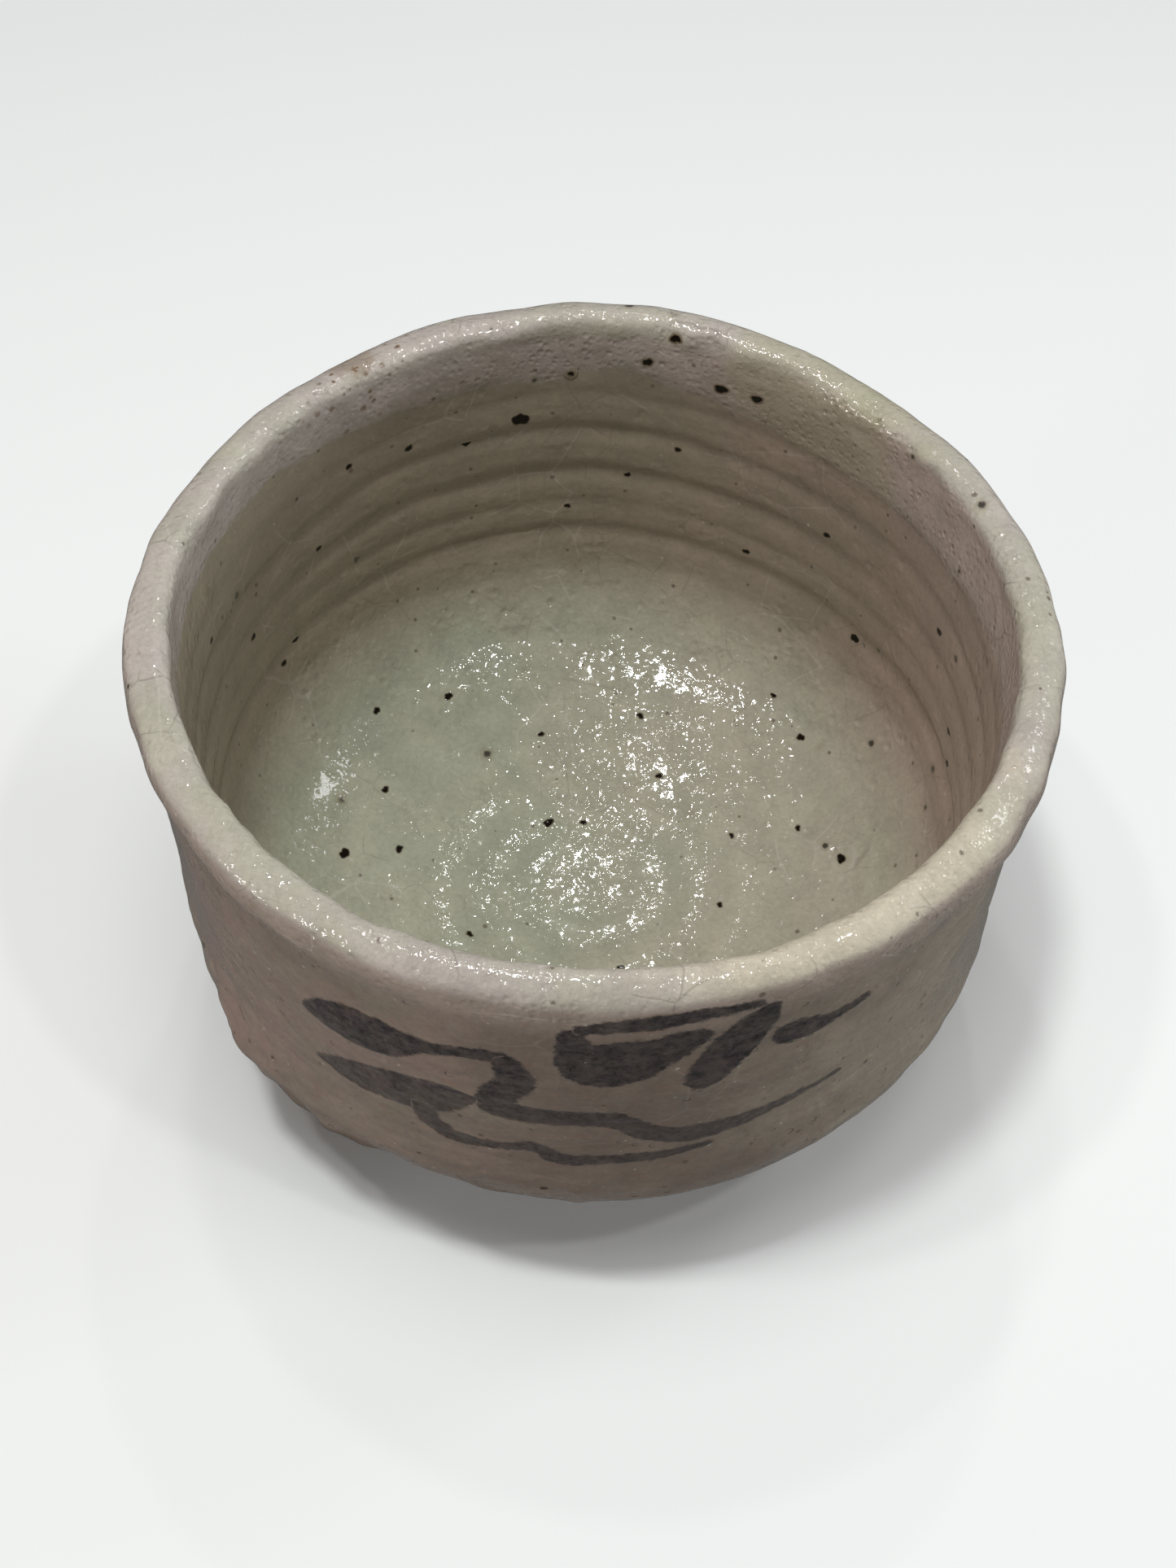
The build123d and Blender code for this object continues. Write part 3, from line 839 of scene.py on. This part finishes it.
def glaze_colour(n, position, zone):
    """Colour of the fired glaze over the clay, by zone: inside, lip or outside."""
    x, _, z = n.add("ShaderNodeSeparateXYZ", {0: position}).outputs
    drift = n.scaled(n.noise(position, 24, 3), 1.3, -0.65)
    side = n.math("ADD", n.scaled(x, 1 / 60), drift)
    clouds = n.step(n.noise(position, 14, 3, 0.55), 0.36, 0.66)
    if zone == "inside":
        colour = inside_colour(n, z, side, clouds)
        # Painted shade and light: the colour is darkened in the throwing marks' hollows and
        # lightened on their ridges
        marks = n.scaled(n.attribute("marks"), 0.20, 1.02)
        colour = n.mix(1.0, colour, marks, "MULTIPLY")
    elif zone == "outside":
        colour = outside_patches(n, position, outside_colour(n, z, side, clouds))
    else:
        inside, outside = inside_colour(n, z, side, clouds), outside_colour(n, z, side, clouds)
        colour = lip_colour(n, position, side, clouds, inside, outside)
    mottle = n.noise(position, 6, 5, 0.6)
    colour = n.mix(1.0, colour, n.scaled(mottle, 0.44, 0.78), "MULTIPLY")
    grain = n.noise(position, 0.8, 4, 0.7)
    return n.mix(1.0, colour, n.scaled(grain, 0.44, 0.78), "MULTIPLY")


def dimples(n, position, size, depth, power=2.0):
    """Height of round dimples, one in each cell of that size; more power, fewer deep ones."""
    cells = n.cells(position, size)
    uneven = n.math("POWER", n.channel(cells.outputs["Color"], 0), power)
    bowl = n.step(cells.outputs["Distance"], 0.0, 0.62)
    return n.math("MULTIPLY", bowl, n.scaled(uneven, depth, 0.15 * depth))


def glaze_height(n, position, zone):
    """Height of the orange peel in the glaze, in millimetres, rougher in patches."""
    size, deep, power, least, finest = PEEL[zone]
    patch = n.step(n.noise(position, 9, 4, 0.6), 0.42, 0.60)
    peel = dimples(n, position, size, deep, power)
    height = n.math("MULTIPLY", peel, n.scaled(patch, 1.1 - least, least))
    height = n.math("ADD", height, dimples(n, position, 0.42 * size, finest * deep))
    if zone == "inside":
        z = n.add("ShaderNodeSeparateXYZ", {0: position}).outputs[2]
        height = n.math("MULTIPLY", height, n.scaled(n.step(z, 24, 36), -0.55, 1.0))
    height = n.math("ADD", height, n.scaled(n.noise(position, 2.5), 0.06))
    if zone == "outside":
        pits = scatter(n, position, size=2.6, share=0.45, radius=0.42, shift=17.0)
        height = n.math("ADD", height, n.scaled(pits, -0.28))
    return height


def lip_stains(n, position, colour):
    """Rust and a yellow tinge on parts of the lip."""
    grains = scatter(n, position, size=1.7, share=0.8, radius=0.5, shift=7.0)
    rust = n.math("MULTIPLY", grains, beside(n, position, RUSTY_LIP, RUST_REACH))
    colour = n.mix(n.scaled(rust, 0.85), colour, RUST)
    stain = beside(n, position, RUSTY_LIP, STAIN_REACH)
    colour = n.mix(n.scaled(stain, 0.45), colour, STAIN)
    return n.mix(n.scaled(beside(n, position, ASHY_LIP, ASH_REACH), 0.30), colour, ASH)


def glaze_layers(n, position, zone):
    """The glaze's colour with its crackle, pale flecks painted as glints, iron specks and their
    brown halos.
    """
    colour = glaze_colour(n, position, zone)
    crazed = crackle(n, position, size=8.0, width=0.18, least=0.50, most=0.62)
    pale = crackle(n, position, size=11.0, width=0.22, least=0.48, most=0.60)
    colour = n.mix(n.scaled(crazed, CRAZING[zone]), colour, CRAZE_DARK)
    colour = n.mix(n.scaled(pale, 0.8 * CRAZING[zone]), colour, CRAZE_PALE)
    halo = scatter(n, position, size=7.0, share=0.30, radius=1.1, shift=3.0)
    spot = scatter(n, position, size=7.0, share=0.30, radius=0.60, shift=3.0)
    fleck = scatter(n, position, size=3.0, share=0.38, radius=0.36, shift=11.0)
    # Painted glints: small pale flecks
    painted_glints = scatter(n, position, size=1.9, share=0.30, radius=0.22, shift=29.0)
    colour = n.mix(n.scaled(halo, 0.30), colour, HALO)
    colour = n.mix(n.scaled(fleck, 0.70), colour, FLECK)
    colour = n.mix(n.scaled(painted_glints, 0.35), colour, PAINTED_GLINT)
    if zone == "lip":
        colour = lip_stains(n, position, colour)
    return n.mix(n.scaled(spot, 0.9), colour, SPOT)


def brushed_ink(n, position, glaze):
    """Iron ink under the glaze: ragged at its edge, streaky, and thinner lower down."""
    wide = n.add("ShaderNodeMapping", {0: position, "Scale": (1.0, 1.0, 1.5)}).outputs[0]
    ragged = n.scaled(n.noise(wide, 1.4, 5, 0.7), 2.0, -1.0)
    cover = n.step(n.math("ADD", n.attribute("edge"), ragged), -0.35, 0.30)
    body = n.step(n.noise(wide, 3.0, 5, 0.65), 0.34, 0.62)
    cover = n.math("MULTIPLY", cover, n.scaled(body, 0.20, 0.68))
    z = n.add("ShaderNodeSeparateXYZ", {0: position}).outputs[2]
    thick = n.scaled(n.step(z, 48, 62), 0.16, 0.98)
    cover = n.math("MULTIPLY", cover, thick, clamp=True)
    tone = n.mix(n.noise(position, 4.0, 3), INK_COOL, INK_WARM)
    pigment = n.step(n.noise(position, 0.9, 4, 0.7), 0.42, 0.62)
    return n.mix(cover, glaze, n.mix(n.scaled(pigment, 0.7), tone, INK_THICK))


def melted_iron(n, position, glaze):
    """A nearly black iron spot with a brown halo."""
    ragged = n.scaled(n.noise(position, 0.6, 3), 0.4, -0.2)
    edge = n.math("ADD", n.attribute("edge"), ragged)
    colour = n.mix(n.scaled(n.step(edge, -0.6, 0.2), 0.55), glaze, IRON_HALO)
    return n.mix(n.step(edge, -0.22, 0.16), colour, IRON_BLACK)


def glaze_material(name, zone, paint=None, shine=None):
    """Glossy glaze with orange peel, and with paint, a function, inside a piece's edge."""
    n = Nodes(name)
    position = n.position()
    colour = glaze_layers(n, position, zone)
    if paint:
        colour = paint(n, position, colour)
    relief = {"Strength": 1.0, "Distance": MM, "Height": glaze_height(n, position, zone)}
    n.finish({
        "Base Color": colour, "Roughness": n.scaled(n.noise(position, 3.0, 3), 0.09, 0.04),
        "Normal": n.add("ShaderNodeBump", relief).outputs[0], "IOR": 1.5,
        "Specular IOR Level": shine or SHINE[zone],
    })
    return n.material


def clay_material():
    """Bare iron-bearing stoneware: gritty, matt, toasted in patches."""
    n = Nodes("bare_clay")
    position = n.position()
    patch = n.noise(position, 14, 4, 0.6)
    grit = n.noise(position, 0.8, 3, 0.7)
    colour = n.mix(n.step(patch, 0.35, 0.68), CLAY_DARK, CLAY_TOASTED)
    colour = n.mix(n.scaled(n.step(grit, 0.5, 0.72), 0.4), colour, CLAY_GRIT)
    dark = scatter(n, position, size=2.2, share=0.35, radius=0.16, shift=5.0)
    colour = n.mix(n.scaled(dark, 0.8), colour, CLAY_IRON)
    height = n.math("ADD", n.scaled(grit, 0.10), n.scaled(patch, 0.06))
    relief = {"Strength": 1.0, "Distance": MM, "Height": height}
    normal = n.add("ShaderNodeBump", relief).outputs[0]
    n.finish({"Base Color": colour, "Roughness": n.scaled(grit, 0.25, 0.62), "Normal": normal})
    return n.material


# ---------------------------------------------------------------- studio


def make_floor():
    """A plain pale floor under the bowl."""
    half, z = 2500, -0.05
    corners = [(-half, -half, z), (half, -half, z), (half, half, z), (-half, half, z)]
    mesh = bpy.data.meshes.new("studio_floor")
    mesh.from_pydata([tuple(v * MM for v in corner) for corner in corners], [], [(0, 1, 2, 3)])
    floor = bpy.data.objects.new("studio_floor", mesh)
    bpy.context.scene.collection.objects.link(floor)
    n = Nodes("studio_paper")
    n.finish({"Base Color": rgb(0.90, 0.90, 0.89), "Roughness": 0.8})
    mesh.materials.append(n.material)
    floor.visible_glossy = False


def make_light(name, azimuth, elevation, distance, size, power, tint=(1, 1, 1), glossy=True):
    """A round soft lamp that points at the bowl from that direction, in metres and watts."""
    data = bpy.data.lights.new(name, "AREA")
    data.shape = "DISK"
    data.size = size
    data.energy = power
    data.color = tint
    lamp = bpy.data.objects.new(name, data)
    bpy.context.scene.collection.objects.link(lamp)
    a, e = math.radians(azimuth), math.radians(elevation)
    away = Vector((math.sin(a) * math.cos(e), -math.cos(a) * math.cos(e), math.sin(e)))
    target = Vector((0, 0, HEIGHT * MM / 2))
    lamp.location = target + away * distance
    lamp.rotation_mode = "QUATERNION"
    lamp.rotation_quaternion = (-away).to_track_quat("-Z", "Y")
    lamp.visible_glossy = glossy


def make_world(strength):
    """An even white light from all round."""
    world = bpy.data.worlds.new("studio")
    bpy.context.scene.world = world
    world.use_nodes = True
    background = world.node_tree.nodes["Background"]
    background.inputs["Color"].default_value = rgb(1.0, 1.0, 1.0)
    background.inputs["Strength"].default_value = strength


def make_camera():
    """Looks down at the middle of the lip, then is turned a little down and tilted."""
    elevation, distance = math.radians(48.65), 0.2588
    pitch, roll = math.radians(5.18), math.radians(2.91)
    target = Vector((0, 0, HEIGHT * MM))
    back = Vector((0, -math.cos(elevation), math.sin(elevation)))
    forward, right = -back, Vector((1, 0, 0))
    up = right.cross(forward)
    forward, up = (
        forward * math.cos(pitch) - up * math.sin(pitch),
        up * math.cos(pitch) + forward * math.sin(pitch),
    )
    right, up = (
        right * math.cos(roll) + up * math.sin(roll),
        up * math.cos(roll) - right * math.sin(roll),
    )
    data = bpy.data.cameras.new("camera")
    data.sensor_width = 36
    data.lens = 44.84
    data.clip_start, data.clip_end = 0.01, 20
    camera = bpy.data.objects.new("camera", data)
    bpy.context.scene.collection.objects.link(camera)
    place = Matrix((right, up, -forward)).transposed().to_4x4()
    place.translation = target + back * distance
    camera.matrix_world = place
    bpy.context.scene.camera = camera


# ---------------------------------------------------------------- the bowl


def add_piece(piece, material, slot, *nodes):
    """Gives a piece its material and hides the CAD nodes that it stands for."""
    piece.data.materials.append(material)
    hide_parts(*nodes)


COATS = {"inside": make_inside_coat, "lip": make_lip_coat, "outside": make_outside_coat}

bare_clay = clay_material()
brushwork = glaze_material("iron_brushwork", "outside", brushed_ink)
iron = glaze_material("iron_spot", "inside", melted_iron, SPOT_SHINE)
for zone, make_coat in COATS.items():
    material = glaze_material("glaze_" + zone, zone)
    add_piece(make_coat(), material, zone + "_glaze", zone + "_glaze")
add_piece(make_clay_body(), bare_clay, "bare_clay", "thrown_body")
add_piece(make_foot(), bare_clay, "bare_clay", "foot_ring")
add_piece(make_specks("iron_spots"), iron, "iron_oxide", "iron_specks")
for number, (node, points) in enumerate(BRUSHWORK.items()):
    lift = PAINT_LIFT + 0.003 * number  # where two strokes cross, the later one lies on top
    stroke = make_stroke(node.replace("brush", "stroke"), points, lift)
    add_piece(stroke, brushwork, "iron_oxide", node)

bpy.context.scene.view_settings.view_transform = "Standard"
make_floor()
make_world(0.12)
# Degrees from the front and up, distance and size in metres, watts. The small lamps make the
# glints in the glaze, and the large ones light its colours.
make_light("overhead_softbox", -20, 86, 0.9, 0.45, 2.35, glossy=False)
make_light("main_spot", -54, 79, 0.9, 0.09, 2.6, (0.95, 1.0, 0.99))
make_light("window", 118, 42, 0.9, 0.15, 0.45, (0.95, 0.97, 1.0))
make_light("left_spot", -75, 70, 0.9, 0.045, 0.65)
make_light("right_spot", 58, 65, 0.9, 0.045, 0.65)
make_light("middle_spot", -163, 70, 0.9, 0.045, 0.42)
make_light("back_spot", 178, 58, 0.9, 0.034, 0.32)
make_light("left_panel", -62, 6, 0.8, 0.12, 1.5, (1.0, 0.95, 0.92))
make_light("right_panel", 98, 8, 0.8, 0.2, 2.8, (0.85, 0.94, 1.0), glossy=False)
make_camera()
